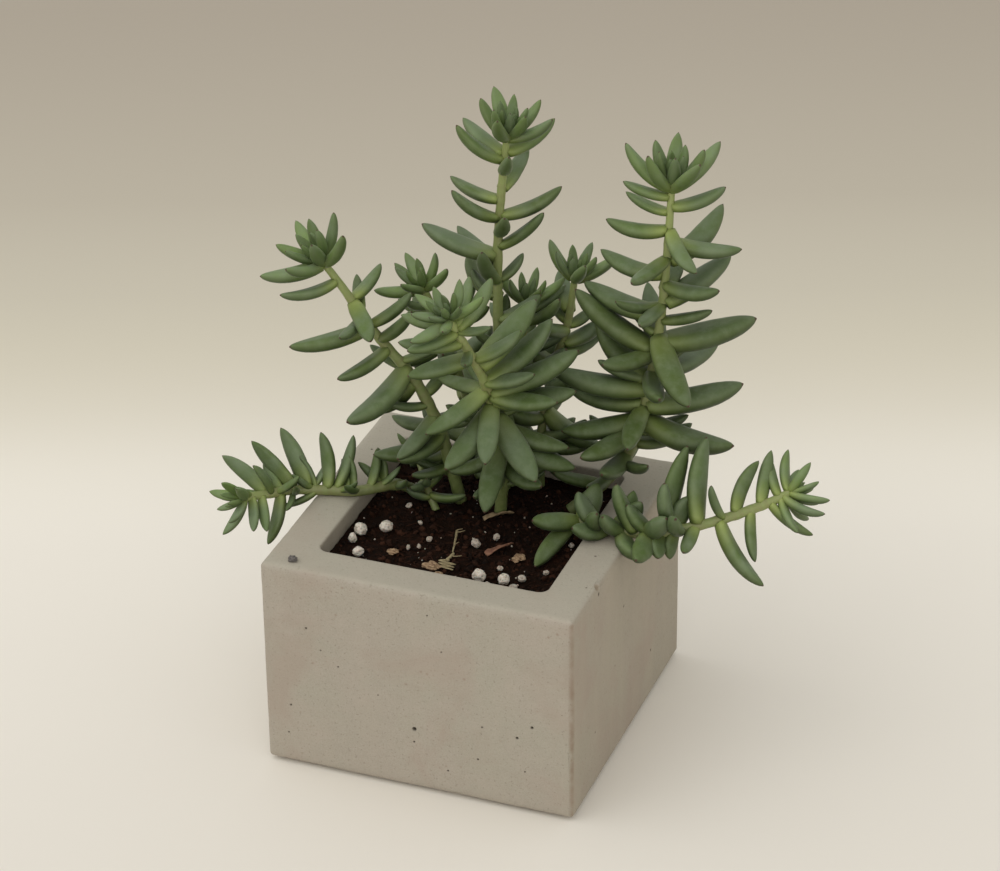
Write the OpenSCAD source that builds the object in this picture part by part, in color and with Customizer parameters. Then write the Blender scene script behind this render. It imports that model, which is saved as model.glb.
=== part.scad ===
// Square cast-concrete planter box for a table or sill, planted with a branching stonecrop.
// Origin: centre of the base pad's underside. X runs along the front, Y to the back, Z up.

/* [Planter] */
// Outer side of the square box
side = 100; // [80:1:140]
// Height of the cast box
cast_h = 70; // [58:1:100]
// Wall thickness at the rim
wall = 13.4; // [9:0.1:17]
// Thickness of the floor
floor_t = 12; // [8:0.5:18]
// Radius of the softened outer edges
edge_r = 2; // [1:0.1:4]
// Radius of the cavity's upright corners
cavity_r = 3; // [2:0.1:6]
// Diameter of the drain hole
drain_d = 12; // [8:0.5:16]

/* [Base pad] */
// Thickness of the cork pad under the box
pad_t = 1; // [0.8:0.1:3]
// How far the pad stops short of the box's sides
pad_inset = 4; // [2:0.5:10]
// Diameter of the opening in the pad round the drain hole
pad_hole_d = 24; // [18:1:40]

/* [Drainage] */
// Diameter of the mesh disc over the drain hole
mesh_d = 22; // [18:1:30]
// Thickness of the mesh disc
mesh_t = 0.6; // [0.4:0.1:1.2]
// Diameter of the mesh's openings
mesh_hole_d = 2; // [1:0.1:2.4]
// Spacing of the mesh's openings
mesh_pitch = 3.2; // [2.8:0.1:5]
// Diameter of the clay drainage balls
ball_d = 9; // [6:0.5:12]

/* [Planting] */
// Depth of the soil's surface below the rim
soil_drop = 6; // [3:0.5:12]
// Clearance round the root ball, so that the planting lifts out
lift_gap = 0.3; // [0.2:0.05:1]
// Clearance of a trailing stem above the rim
rest_gap = 0.3; // [0.2:0.05:1]
// Gap between a leaf's foot and its stem
leaf_gap = 0.15; // [0.05:0.05:0.5]
// Leaf thickness as a share of its length
leaf_plump = 0.15; // [0.1:0.01:0.18]
// Stem radius at the soil
stem_r = 2; // [1.5:0.1:2.5]
// Stem radius just under the growing tip
tip_r = 1.1; // [0.8:0.1:1.5]
// Radius of a trailing stem
trail_r = 1.5; // [1:0.1:2]

/* [Hidden] */

half = side / 2;                        // centre to the outside
inner = half - wall;                    // centre to the cavity's wall
floor_z = pad_t + floor_t;              // inside floor
rim_z = pad_t + cast_h;                 // top of the rim
soil_z = rim_z - soil_drop;             // soil surface
ball_top = floor_z + ball_d;            // top of the drainage layer
over = soil_drop + trail_r + rest_gap;  // height above the soil at which a trailer crosses the rim
clump_y = inner - 10.6;                 // the standing shoots keep their distance from the back wall
golden = 137.5;                         // turn from one leaf to the next round a growing tip
path_steps = 3;                         // rings on each stretch of a stem
stem_sides = 8;
foot_ease = 0.4;                        // how far leaf feet follow the stem as it thins
tip_climb = 0.2;                        // climb of the youngest leaf, as a share of the outer leaf
tip_shrink = 0.68;                      // how much shorter the youngest leaf is, as a share of the outer one
fill_side = 110;                        // heading that the filling leaves spread from

concrete = [0.72, 0.69, 0.62];
cork = [0.62, 0.45, 0.28];
plastic = [0.18, 0.18, 0.18];
clay = [0.60, 0.33, 0.20];
soil = [0.13, 0.08, 0.06];
white = [0.88, 0.86, 0.82];
bark = [0.50, 0.36, 0.22];
stem_green = [0.55, 0.62, 0.33];
leaf_green = [0.40, 0.50, 0.36];

// ---- Stem routes: [x, y, height above the soil], from the soil to the growing tip ----
function clump(x, y, h) = [x, clump_y + y, h];

tall_path = [clump(0, 0, 0), clump(-1, 0, 25), clump(-1, -1, 53), clump(-1, -1, 80),
    clump(0, 0, 102), clump(2, 0, 121)];
right_path = [clump(24, -6, 0), clump(33, -2, 9), clump(41, 1, 21), clump(46, 2, 41),
    clump(49, 3, 61), clump(51, 4, 85), clump(52, 5, 110)];
left_path = [clump(-10, -12, 0), clump(-15, -16, 27), clump(-22, -19, 45), clump(-31, -23, 59),
    clump(-42, -27, 78), clump(-46, -29, 85)];
front_path = [clump(4, -14, 0), clump(6, -17, 23), clump(5, -22, 41), clump(4, -28, 55),
    clump(1, -34, 68), clump(-2, -39, 79)];
back_path = [clump(10, 5, 0), clump(10, 7, 20), clump(12, 12, 38), clump(16, 14, 54), clump(18, 15, 69)];
middle_path = [clump(5, 6, 0), clump(4, 8, 25), clump(3, 9, 45), clump(4, 10, 61)];
rear_path = [clump(-10, 4, 0), clump(-13, 2, 28), clump(-19, -1, 52), clump(-24, -4, 68)];
basal_path = [clump(-15, -20, 0), clump(-19, -17, 5), clump(-23, -12, 9), clump(-26, -8, 11)];
left_trailer_path = [
    [15 - inner, clump_y - 13, 0], [9 - inner, clump_y - 20, 6.8], [-inner, clump_y - 29, over],
    [-half + 4, clump_y - 32, over], [-half - 5, clump_y - 36, over + 0.5],
    [-half - 12, clump_y - 42, over + 1], [-half - 17, clump_y - 48, over + 2]
];
right_trailer_path = [
    [inner - 13, clump_y - 16, 0], [inner - 5, clump_y - 22, 7], [half - 5, clump_y - 25, over],
    [half + 9, clump_y - 23, over + 1], [half + 20, clump_y - 18, over + 3],
    [half + 30, clump_y - 11, over + 5], [half + 38, clump_y - 4, over + 7],
    [half + 42, clump_y + 1, over + 8]
];

// ---- Leaves: [distance down from the tip, length, heading round Z, rise above level] ----
tall_plan = [
    [6, 19, 155, 20], [9, 20, 210, 45], [6, 19, 50, 25], [13, 17, 300, 45], [18, 18, 80, 25],
    [21, 18, 170, 12], [27, 21, 30, 25], [28, 19, 215, 40], [33, 17, 300, 45], [38, 20, 10, 45],
    [40, 25, 190, 22], [42, 20, 150, 15], [51, 19, 260, 62], [54, 20, 140, 20], [62, 16, 20, 35],
    [90, 20, 250, -55]
];
right_plan = [
    [3, 15, 190, 17], [8, 16, 165, 10], [7, 18, 20, 25], [13, 19, 190, 5], [12, 18, 320, -30],
    [17, 22, 15, -5], [23, 19, 255, 0], [25, 26, 60, 30], [28, 22, 172, 8], [32, 20, 345, 12],
    [38, 17, 265, 3], [39, 26, 45, 28], [42, 27, 170, 10], [48, 28, 310, -26], [52, 31, 25, 14],
    [54, 20, 235, 4], [55, 31, 180, 34], [54, 26, 115, 25], [61, 27, 60, 0], [62, 22, 295, 8],
    [67, 30, 195, 10], [66, 30, 150, 36], [72, 26, 175, -2], [73, 22, 275, -10], [74, 31, 25, 12],
    [77, 25, 205, -10], [78, 30, 0, -8], [80, 24, 240, -8], [92, 20, 266, 10], [84, 22, 150, -35],
    [96, 18, 320, 25], [101, 15, 260, 13], [88, 20, 40, 10]
];
left_plan = [
    [8, 19, 225, 0], [15, 19, 310, -15], [15, 16, 75, 22], [21, 14, 120, 35], [22, 16, 265, 3],
    [26, 26, 220, -4], [25, 16, 40, 32], [31, 17, 350, 48], [35, 20, 240, -10], [44, 28, 250, -14],
    [48, 20, 180, -45], [72, 22, 208, -8], [66, 18, 165, -8], [70, 20, 250, 0],
    [76.5, 15, 157, -20], [62, 20, 255, -20], [82, 14, 230, 5]
];
front_plan = [
    [7, 18, 235, 0], [3, 16, 185, 5], [6, 12, 355, 20], [6, 19, 55, 48], [5, 17, 90, 45],
    [12, 20, 210, 8], [16, 12, 285, 12], [18, 20, 215, -10], [19, 17, 25, 32], [23, 27, 55, 38],
    [30, 28, 50, 33], [34, 18, 170, 0], [33, 23, 222, -30], [35, 30, 32, 22], [36, 22, 0, 4],
    [38, 26, 25, 3], [39, 22, 285, -30], [42, 25, 250, -28], [44, 26, 325, -32], [49, 23, 10, -16],
    [52, 26, 5, -22], [56, 24, 275, -38], [70, 18, 261, 5], [64, 20, 327, 0], [60, 18, 200, -25],
    [74, 14, 20, 20]
];
back_plan = [
    [15, 12, 140, 22], [17, 12, 60, 20], [27, 18, 50, 20], [48, 14, 80, 20], [52, 19, 332, -42],
    [44, 22, 9, -35], [56, 16, 20, 0]
];
middle_plan = [
    [5, 16, 45, 30], [8, 18, 350, 45], [10, 11, 185, 35], [14, 14, 90, 30], [17, 15, 15, 30],
    [19, 12, 195, 25], [27, 20, 0, 45], [31, 16, 180, 30], [42, 18, 310, -30], [48, 16, 77, -25],
    [50, 15, 300, -10]
];
rear_plan = [[5, 16, 172, 40], [7, 14, 250, 30], [12, 14, 180, 20], [13, 16, 45, 40], [20, 17, 215, -20]];
basal_plan = [[4, 11, 355, 30], [6, 12, 100, 30], [9, 12, 270, 15], [14, 13, 355, 10]];
left_trailer_plan = [
    [3, 13, 293, -25], [6, 13, 300, -30], [7, 9, 180, -3], [10, 14, 235, 60], [9, 19, 180, 33],
    [13, 17, 265, -50], [18, 21, 175, 40], [17, 10, 275, -10], [21, 21, 150, 50], [24, 12, 165, 55],
    [27, 15, 220, -10], [27, 18, 125, 62], [29, 18, 80, 50], [35, 11, 125, 60], [39, 13, 85, 55],
    [45, 12, 130, 60]
];
right_trailer_plan = [
    [3, 15, 350, -6], [3, 13, 315, -30], [4, 14, 125, 44], [8, 17, 5, -32], [11, 18, 90, 46],
    [13, 16, 295, -55], [20, 19, 70, 45], [22, 13, 215, 70], [24, 24, 340, -43], [30, 15, 270, -4],
    [31, 27, 96, 60], [37, 9, 262, -60], [38, 16, 165, 78], [41, 27, 80, 57], [42, 9, 285, -30],
    [45, 15, 272, -4], [49, 17, 180, 66], [57, 14, 225, 17], [56, 15, 322, -8], [68, 18, 230, 18],
    [71, 23, 258, -12]
];

// Leaves that fill a stem at equal steps and equal turns: [first distance down from the tip,
// last distance, step, length, first heading, rise, how far they reach round from fill_side]
tall_fill = [50, 108, 5.5, 13, 40, 50, 125];
right_fill = [34, 106, 5, 17, 90, 20, 125];
left_fill = [40, 90, 5, 15, 30, 20, 120];
front_fill = [30, 78, 5, 17, 0, 20, 110];
back_fill = [12, 64, 6, 17, 120, 30, 180];
middle_fill = [12, 54, 5, 17, 150, 20, 180];
rear_fill = [12, 62, 5, 17, 10, 20, 180];
basal_fill = [3, 17, 3.5, 10, 20, 35, 180];
left_trailer_fill = [5, 52, 4, 11, 240, 35, 180];
right_trailer_fill = [36, 70, 3.5, 13, 280, 45, 180];

// Growing tips: [number of leaves, length of the outer ones, how far the outer ones open]
tall_tip = [14, 16, 42];
right_tip = [13, 19, 42];
left_tip = [14, 18, 55];
front_tip = [15, 13, 65];
back_tip = [11, 14, 42];
middle_tip = [10, 13, 45];
rear_tip = [10, 14, 55];
basal_tip = [7, 9, 55];
left_trailer_tip = [9, 12, 50];
right_trailer_tip = [12, 13, 55];

// Perlite: [x and y as shares of the cavity's half width, diameter]
perlite = [
    [-0.86, -0.42, 4.6], [-0.88, -0.55, 3.4], [-0.68, -0.30, 4.2], [-0.75, -0.74, 3.6], [-0.64, 0.12, 2.2],
    [0.12, -0.28, 3], [0.33, -0.76, 4.2], [0.43, -0.84, 2], [0.54, -0.74, 3.6], [0.65, -0.82, 2.8],
    [0.67, -0.66, 2.6], [0.44, -0.56, 1.8], [-0.28, -0.33, 2], [-0.32, -0.46, 1.6], [-0.40, -0.50, 1.6],
    [0.24, -0.12, 2.4], [0.87, -0.02, 1.8], [-0.45, -0.10, 1.6], [0.82, -0.50, 2]
];
// Bark: [x and y as shares of the cavity's half width, length, turn]
chips = [[-0.12, -0.72, 5, 20], [-0.02, -0.82, 3.4, 80], [0.52, -0.36, 4, 130], [-0.50, -0.60, 3, 60]];

// ---- Curves ----
function blend(a, b, c, d, t) =
    0.5 * (2 * b + (c - a) * t + (2 * a - 5 * b + 4 * c - d) * t * t + (3 * b - a - 3 * c + d) * t * t * t);
function smooth(p) = let (last = len(p) - 1) concat(
    [for (i = [0:last - 1], k = [0:path_steps - 1])
        blend(p[max(i - 1, 0)], p[i], p[i + 1], p[min(i + 2, last)], k / path_steps)],
    [p[last]]
);
function run(c, i = 0, s = 0) = i == len(c) - 1 ? [s] : concat([s], run(c, i + 1, s + norm(c[i + 1] - c[i])));
function unit(v) = v / norm(v);
// Point on the curve c at the distance d down from its end
function spot(c, d) = let (s = run(c), t = s[len(s) - 1] - d)
    [for (k = [0:2]) lookup(t, [for (i = [0:len(c) - 1]) [s[i], c[i][k]]])];
function aim(c, d) = unit(spot(c, max(d - 1, 0)) - spot(c, d + 1));
function aimed(h, r) = [cos(h) * cos(r), sin(h) * cos(r), sin(r)];

// ---- Shapes ----
module rounded_square(w, r) {
    square([w, w - 2 * r], center = true);
    square([w - 2 * r, w], center = true);
    for (x = [-1, 1], y = [-1, 1])
        translate([x * (w / 2 - r), y * (w / 2 - r)])
            circle(r = r, $fn = 48);
}

// A round tube of stem_sides flats along c, from radius r0 to r1, with its foot cut level
module tube(c, r0, r1) {
    n = len(c);
    ring = function(i)
        let (
            t = i == 0 ? [0, 0, 1] : unit(c[min(i + 1, n - 1)] - c[i - 1]),
            u = unit(cross([0, 1, 0], t)),
            v = cross(t, u),
            r = r0 + (r1 - r0) * i / (n - 1)
        )
        [for (k = [0:stem_sides - 1])
            c[i] + r * (cos(360 * k / stem_sides) * u + sin(360 * k / stem_sides) * v)];
    points = [for (i = [0:n - 1]) each ring(i)];
    sides = [for (i = [0:n - 2], k = [0:stem_sides - 1])
        let (a = i * stem_sides + k, b = i * stem_sides + (k + 1) % stem_sides)
        each [[a, a + stem_sides, b + stem_sides], [a, b + stem_sides, b]]];
    foot = [for (k = [0:stem_sides - 1]) k];
    top = [for (k = [stem_sides - 1:-1:0]) (n - 1) * stem_sides + k];
    polyhedron(points, concat(sides, [foot, top]));
}

// One plump pointed leaf standing on its foot
module blade(l) {
    r = l * leaf_plump / 2;
    rotate_extrude($fn = 24)
        polygon([
            [0, 0], [r * 0.4, 0], [r * 0.8, l * 0.18], [r, l * 0.45], [r * 0.86, l * 0.72],
            [r * 0.46, l * 0.92], [0, l]
        ]);
}

// The rows of leaves that a fill stands for
function spiral(fill) = [for (i = [0:floor((fill[1] - fill[0]) / fill[2])])
    let (turn = fill[4] + i * golden)
    if (cos(turn - fill_side) >= cos(fill[6])) [fill[0] + i * fill[2], fill[3], turn, fill[5]]];

// The leaves of one shoot along its stem; r is the stem's radius at its foot
module leaves(c, plan, r) {
    s = run(c);
    for (p = plan) {
        way = aimed(p[2], p[3]);
        lean = way * aim(c, p[0]);
        foot_r = p[1] * leaf_plump * 0.2;
        near_r = r + (tip_r - r) * foot_ease * (1 - p[0] / s[len(s) - 1]);
        out = (near_r + leaf_gap + foot_r * abs(lean)) / max(sqrt(1 - lean * lean), 0.5);
        translate(spot(c, p[0]) + way * out + [0, 0, soil_z])
            rotate([0, 90 - p[3], p[2]])
                blade(p[1] - out);
    }
}

// The whorl of young leaves round a growing tip
module whorl(c, tip) {
    way = aim(c, 0);
    turn = atan2(way[1], way[0]);
    for (i = [0:tip[0] - 1]) {
        young = i / tip[0];
        translate(c[len(c) - 1] + [0, 0, soil_z])
            rotate([0, acos(way[2]), turn])
                rotate(i * golden)
                    translate([1.5 - young, 0, leaf_gap + tip[1] * tip_climb * young])
                        rotate([0, 8 + tip[2] * (1 - young), 0])
                            blade(tip[1] * (1 - tip_shrink * young));
    }
}

module stem(path, r0, r1) {
    color(stem_green)
        translate([0, 0, soil_z])
            tube(smooth(path), r0, r1);
}

module foliage(path, plan, tip, r) {
    c = smooth(path);
    color(leaf_green) {
        leaves(c, plan, r);
        whorl(c, tip);
    }
}

// ---- Planter ----
module planter_shell() {
    color(concrete)
        difference() {
            hull()
                for (x = [-1, 1], y = [-1, 1], z = [pad_t + edge_r, rim_z - edge_r])
                    translate([x * (half - edge_r), y * (half - edge_r), z])
                        sphere(r = edge_r, $fn = 24);
            translate([0, 0, floor_z])
                linear_extrude(cast_h)
                    rounded_square(2 * inner, cavity_r);
            cylinder(h = floor_z + 1, d = drain_d, $fn = 64);
        }
}

module base_pad() {
    color(cork)
        linear_extrude(pad_t)
            difference() {
                rounded_square(side - 2 * pad_inset, cavity_r);
                circle(d = pad_hole_d, $fn = 64);
            }
}

// A hexagon of openings covers the drain hole
module drain_mesh() {
    rings = floor((mesh_d / 2 - mesh_hole_d) / mesh_pitch);
    color(plastic)
        translate([0, 0, floor_z])
            difference() {
                cylinder(h = mesh_t, d = mesh_d, $fn = 64);
                for (i = [-rings:rings], j = [-rings:rings])
                    if (abs(i + j) <= rings)
                        translate([(i + j / 2) * mesh_pitch, j * mesh_pitch * sqrt(3) / 2, -1])
                            cylinder(h = mesh_t + 2, d = mesh_hole_d, $fn = 24);
            }
}

// Clay balls on the floor, clear of the mesh disc
module drainage_balls() {
    reach = inner - ball_d / 2 - lift_gap;
    clear = (mesh_d + ball_d) / 2;
    n = floor(2 * reach / clear);
    pitch = 2 * reach / n;
    color(clay)
        for (i = [0:n], j = [0:n]) {
            x = i * pitch - reach;
            y = j * pitch - reach;
            if (norm([x, y]) >= clear)
                translate([x, y, floor_z + ball_d / 2])
                    sphere(d = ball_d, $fn = 32);
        }
}

// A crumb of grit left on the front rim
module rim_crumb() {
    color(concrete)
        translate([9 - half, 5 - half, rim_z])
            rotate(30)
                linear_extrude(1.4)
                    polygon([[-1.6, -1], [0.4, -1.3], [1.8, 0.2], [0.3, 1.2], [-1.3, 0.7]]);
}

// ---- Planting, which lifts out whole ----
module root_ball() {
    color(soil)
        translate([0, 0, ball_top + lift_gap])
            linear_extrude(soil_z - ball_top - lift_gap)
                rounded_square(2 * (inner - lift_gap), cavity_r - lift_gap);
}

module perlite_grains() {
    color(white)
        for (g = perlite)
            translate([g[0] * inner, g[1] * inner, soil_z + g[2] / 2])
                sphere(d = g[2], $fn = 24);
}

module bark_chips() {
    color(bark)
        for (c = chips)
            translate([c[0] * inner, c[1] * inner, soil_z])
                rotate(c[3])
                    linear_extrude(c[2] * 0.35)
                        polygon([[-c[2] / 2, -c[2] * 0.2], [c[2] / 2, -c[2] * 0.3], [c[2] * 0.4, c[2] * 0.3],
                            [-c[2] * 0.4, c[2] * 0.25]]);
}

// A dead sprig that forks twice on the soil
module dry_rootlets() {
    color(bark)
        translate([0, 0, soil_z + 0.5])
            for (fork = [
                [[-1, -0.6], [0.5, -6], [2, -12]], [[2, -13], [0, -17], [1, -21]],
                [[3, -13], [5, -17], [6, -22]]
            ])
                translate([-3, clump_y - 30, 0])
                    tube(smooth([for (p = fork) [p[0], p[1], 0]]), 0.5, 0.3);
}

// Two shed leaves lying on the soil
module dry_leaves() {
    color(bark) {
        translate([9, clump_y - 40, soil_z + 0.9])
            rotate([0, 88, 52])
                blade(10);
        translate([1, clump_y - 21, soil_z + 0.9])
            rotate([0, 88, 38])
                blade(10);
    }
}

module tall_stem() stem(tall_path, stem_r, tip_r);
module tall_leaves() foliage(tall_path, concat(tall_plan, spiral(tall_fill)), tall_tip, tip_r + 0.4);
module right_stem() stem(right_path, stem_r, tip_r);
module right_leaves() foliage(right_path, concat(right_plan, spiral(right_fill)), right_tip, stem_r);
module left_stem() stem(left_path, stem_r, tip_r);
module left_leaves() foliage(left_path, concat(left_plan, spiral(left_fill)), left_tip, stem_r);
module front_stem() stem(front_path, stem_r, tip_r);
module front_leaves() foliage(front_path, concat(front_plan, spiral(front_fill)), front_tip, stem_r);
module back_stem() stem(back_path, trail_r, tip_r);
module back_leaves() foliage(back_path, concat(back_plan, spiral(back_fill)), back_tip, trail_r);
module middle_stem() stem(middle_path, trail_r, tip_r);
module middle_leaves() foliage(middle_path, concat(middle_plan, spiral(middle_fill)), middle_tip, trail_r);
module rear_stem() stem(rear_path, trail_r, tip_r);
module rear_leaves() foliage(rear_path, concat(rear_plan, spiral(rear_fill)), rear_tip, trail_r);
module basal_stem() stem(basal_path, trail_r, tip_r);
module basal_leaves() foliage(basal_path, concat(basal_plan, spiral(basal_fill)), basal_tip, trail_r);
module left_trailer_stem() stem(left_trailer_path, trail_r, tip_r);
module left_trailer_leaves() foliage(
    left_trailer_path, concat(left_trailer_plan, spiral(left_trailer_fill)), left_trailer_tip, trail_r
);
module right_trailer_stem() stem(right_trailer_path, trail_r, tip_r);
module right_trailer_leaves() foliage(
    right_trailer_path, concat(right_trailer_plan, spiral(right_trailer_fill)), right_trailer_tip, trail_r
);

planter_shell();
base_pad();
drain_mesh();
drainage_balls();
rim_crumb();
root_ball();
perlite_grains();
bark_chips();
dry_rootlets();
dry_leaves();
tall_stem();
tall_leaves();
right_stem();
right_leaves();
left_stem();
left_leaves();
front_stem();
front_leaves();
back_stem();
back_leaves();
middle_stem();
middle_leaves();
rear_stem();
rear_leaves();
basal_stem();
basal_leaves();
left_trailer_stem();
left_trailer_leaves();
right_trailer_stem();
right_trailer_leaves();
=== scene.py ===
import math
import random

import bmesh
import bpy
import numpy as np
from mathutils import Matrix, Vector, noise


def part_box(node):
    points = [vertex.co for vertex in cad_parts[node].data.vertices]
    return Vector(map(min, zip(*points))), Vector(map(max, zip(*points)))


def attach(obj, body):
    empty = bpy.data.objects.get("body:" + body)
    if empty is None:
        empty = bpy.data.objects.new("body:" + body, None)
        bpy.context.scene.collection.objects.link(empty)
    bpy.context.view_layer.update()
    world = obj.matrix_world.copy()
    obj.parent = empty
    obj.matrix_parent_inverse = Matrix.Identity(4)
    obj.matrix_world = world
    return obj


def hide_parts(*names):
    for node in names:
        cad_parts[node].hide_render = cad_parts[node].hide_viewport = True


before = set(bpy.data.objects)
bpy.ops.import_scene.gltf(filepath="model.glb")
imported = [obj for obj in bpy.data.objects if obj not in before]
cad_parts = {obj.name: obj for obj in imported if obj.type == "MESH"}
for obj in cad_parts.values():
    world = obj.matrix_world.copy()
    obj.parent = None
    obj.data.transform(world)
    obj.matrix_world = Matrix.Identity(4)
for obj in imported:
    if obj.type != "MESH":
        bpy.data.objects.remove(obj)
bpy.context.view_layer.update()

MM = 0.001
SHOOTS = ("tall", "right", "left", "front", "back", "middle", "rear", "basal",
          "left_trailer", "right_trailer")

# ---- Camera ----
CAM_AZIMUTH = math.radians(21.013)
CAM_ELEVATION = math.radians(29.83)
CAM_ROLL = math.radians(-0.694)
CAM_DISTANCE = 1.190155
CAM_SIDE = 0.008122
CAM_RISE = 0.040518
CAM_TARGET_Z = 0.051
SENSOR = 36.0
LENS = 138.64

# ---- Planter ----
SHELL_LO, SHELL_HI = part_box("planter_shell")
SOIL_LO, SOIL_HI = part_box("root_ball")
HALF = (SHELL_HI[0] - SHELL_LO[0]) / 2
BASE_Z = SHELL_LO[2]
RIM_Z = SHELL_HI[2]
SOIL_Z = SOIL_HI[2]
INNER = SOIL_HI[0] + 0.3 * MM
FLOOR_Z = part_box("drain_mesh")[0][2]
EDGE_R = 1.4 * MM
CAVITY_R = 3.0 * MM
LIP_R = 0.7 * MM
DRAIN_R = 6.0 * MM
# Pinholes on the front: x, z and radius in mm
FRONT_PINHOLES = [(-1, 22.3, 0.62), (37, 31.5, 0.42), (32.2, 26.7, 0.42), (-41.6, 22, 0.3),
                  (-35.5, 51, 0.32), (-42.7, 11.7, 0.25), (-1.2, 17.6, 0.3), (19.5, 16, 0.3),
                  (4, 64, 0.25), (-25.4, 39.3, 0.25), (8.3, 52, 0.22), (-12.6, 32, 0.22),
                  (9.7, 9.5, 0.28), (34.6, 15, 0.25), (21, 28, 0.25), (-31, 44, 0.22)]
# Pinholes on the right side: y, z and radius in mm
RIGHT_PINHOLES = [(-27.2, 67.8, 0.55), (-4, 49.8, 0.4), (-30, 20, 0.3), (-12, 33, 0.25),
                  (22, 18, 0.4), (31, 52, 0.35)]
# Chipped spots on the edges: place and radius in mm
CHIPS_OUT = [((50, -27.5, 70.6), 1.5), ((-50, -50, 68), 0.8), ((50, -50, 22), 0.8), ((50, 12, 71), 0.9),
             ((-18, 50, 71), 1.0), ((-50, 20, 71), 0.8), ((12, -50, 1.2), 0.9), ((50, 8, 1.4), 1.0)]


# ---- Mesh helpers ----
def link_mesh(name, mesh, material):
    """A smooth object with this mesh and material, linked into the scene."""
    obj = bpy.data.objects.new(name, mesh)
    bpy.context.scene.collection.objects.link(obj)
    mesh.materials.append(material)
    mesh.polygons.foreach_set("use_smooth", [True] * len(mesh.polygons))
    mesh.update()
    return obj


def make_object(name, verts, faces, material):
    mesh = bpy.data.meshes.new(name)
    mesh.from_pydata([tuple(v) for v in verts], [], faces)
    mesh.validate()
    return link_mesh(name, mesh, material)


def object_from_bmesh(name, bm, material):
    mesh = bpy.data.meshes.new(name)
    bm.to_mesh(mesh)
    bm.free()
    return link_mesh(name, mesh, material)


def add_attribute(obj, name, values):
    layer = obj.data.attributes.new(name, "FLOAT", "POINT")
    layer.data.foreach_set("value", np.asarray(values, dtype=np.float32))


class Parts:
    """Collects many small closed shapes into one mesh."""

    def __init__(self):
        self.verts, self.faces, self.values, self.count = [], [], {}, 0

    def add(self, verts, faces, **values):
        verts = np.asarray(verts, dtype=float)
        self.faces += [[i + self.count for i in f] for f in faces]
        self.verts.append(verts)
        self.count += len(verts)
        for key, value in values.items():
            self.values.setdefault(key, []).append(np.broadcast_to(value, len(verts)))

    def build(self, name, material):
        obj = make_object(name, np.concatenate(self.verts), self.faces, material)
        for key, value in self.values.items():
            add_attribute(obj, key, np.concatenate(value))
        return obj


def welded(node):
    """The CAD node's mesh with its doubled vertices joined: vertices and, for each, its neighbours."""
    bm = bmesh.new()
    bm.from_mesh(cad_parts[node].data)
    bmesh.ops.remove_doubles(bm, verts=bm.verts, dist=0.004 * MM)
    bm.verts.ensure_lookup_table()
    points = np.array([v.co[:] for v in bm.verts])
    near = [[e.other_vert(v).index for e in v.link_edges] for v in bm.verts]
    bm.free()
    return points, near


def islands(node):
    """The vertices of each separate solid of a CAD node."""
    points, near = welded(node)
    left, groups = set(range(len(points))), []
    while left:
        seed = min(left)
        stack, group = [seed], {seed}
        while stack:
            for other in near[stack.pop()]:
                if other not in group:
                    group.add(other)
                    stack.append(other)
        left -= group
        groups.append(points[sorted(group)])
    return groups


def unit(v):
    return v / max(np.linalg.norm(v), 1e-12)


def smooth_line(points, steps):
    """Catmull-Rom curve through the points."""
    points = np.asarray(points, dtype=float)
    last, out = len(points) - 1, []
    for i in range(last):
        a, b, c, d = (points[j] for j in (max(i - 1, 0), i, i + 1, min(i + 2, last)))
        for k in range(steps):
            t = k / steps
            out.append(0.5 * (2 * b + (c - a) * t + (2 * a - 5 * b + 4 * c - d) * t * t
                              + (3 * b - a - 3 * c + d) * t ** 3))
    out.append(points[last])
    return np.array(out)


def run_lengths(line):
    return np.concatenate([[0], np.cumsum(np.linalg.norm(np.diff(line, axis=0), axis=1))])


def strip_faces(rings, sides, closed=False):
    """Quads between neighbouring rings of equal length; closed joins the last ring to the first."""
    pairs = [(i, (i + 1) % rings) for i in range(rings if closed else rings - 1)]
    return [[i * sides + k, i * sides + (k + 1) % sides, j * sides + (k + 1) % sides, j * sides + k]
            for i, j in pairs for k in range(sides)]


def end_fans(foot, top, last, sides):
    """Triangles that close the first ring at vertex foot and the last ring at vertex top."""
    faces = []
    for k in range(sides):
        j = (k + 1) % sides
        faces += [[foot, j, k], [top, last + k, last + j]]
    return faces


def tube(line, radii, sides, wobble=None):
    """A closed round tube along the line."""
    n = len(line)
    tangents = np.array([unit(line[min(i + 1, n - 1)] - line[max(i - 1, 0)]) for i in range(n)])
    side = unit(np.cross(tangents[0], [0.31, 0.94, 0.12]))
    verts = []
    for i in range(n):
        side = unit(side - tangents[i] * side.dot(tangents[i]))
        other = np.cross(tangents[i], side)
        for k in range(sides):
            a = 2 * math.pi * k / sides
            r = radii[i] * (1 + (wobble(i, a) if wobble else 0))
            verts.append(line[i] + r * (math.cos(a) * side + math.sin(a) * other))
    verts += [line[0], line[-1]]
    foot, top = len(verts) - 2, len(verts) - 1
    faces = strip_faces(n, sides) + end_fans(foot, top, (n - 1) * sides, sides)
    return np.array(verts), faces


def ball(level):
    bm = bmesh.new()
    bmesh.ops.create_icosphere(bm, subdivisions=level, radius=1.0)
    verts = np.array([v.co[:] for v in bm.verts])
    faces = [[v.index for v in f.verts] for f in bm.faces]
    bm.free()
    return verts, faces


BALLS = {level: ball(level) for level in (1, 2, 4)}


def lump(centre, size, level, rough, seed, scale=1.3):
    """A round grain with an uneven surface; size holds its three half lengths."""
    verts, faces = BALLS[level]
    shift = Vector((seed * 7.13, seed * 3.7, seed * 1.9))
    out = []
    for v in verts:
        n = noise.noise(Vector(v) * scale + shift) + 0.5 * noise.noise(Vector(v) * scale * 2.3 + shift)
        out.append(centre + v * size * (1 + rough * n))
    return np.array(out), faces


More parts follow.
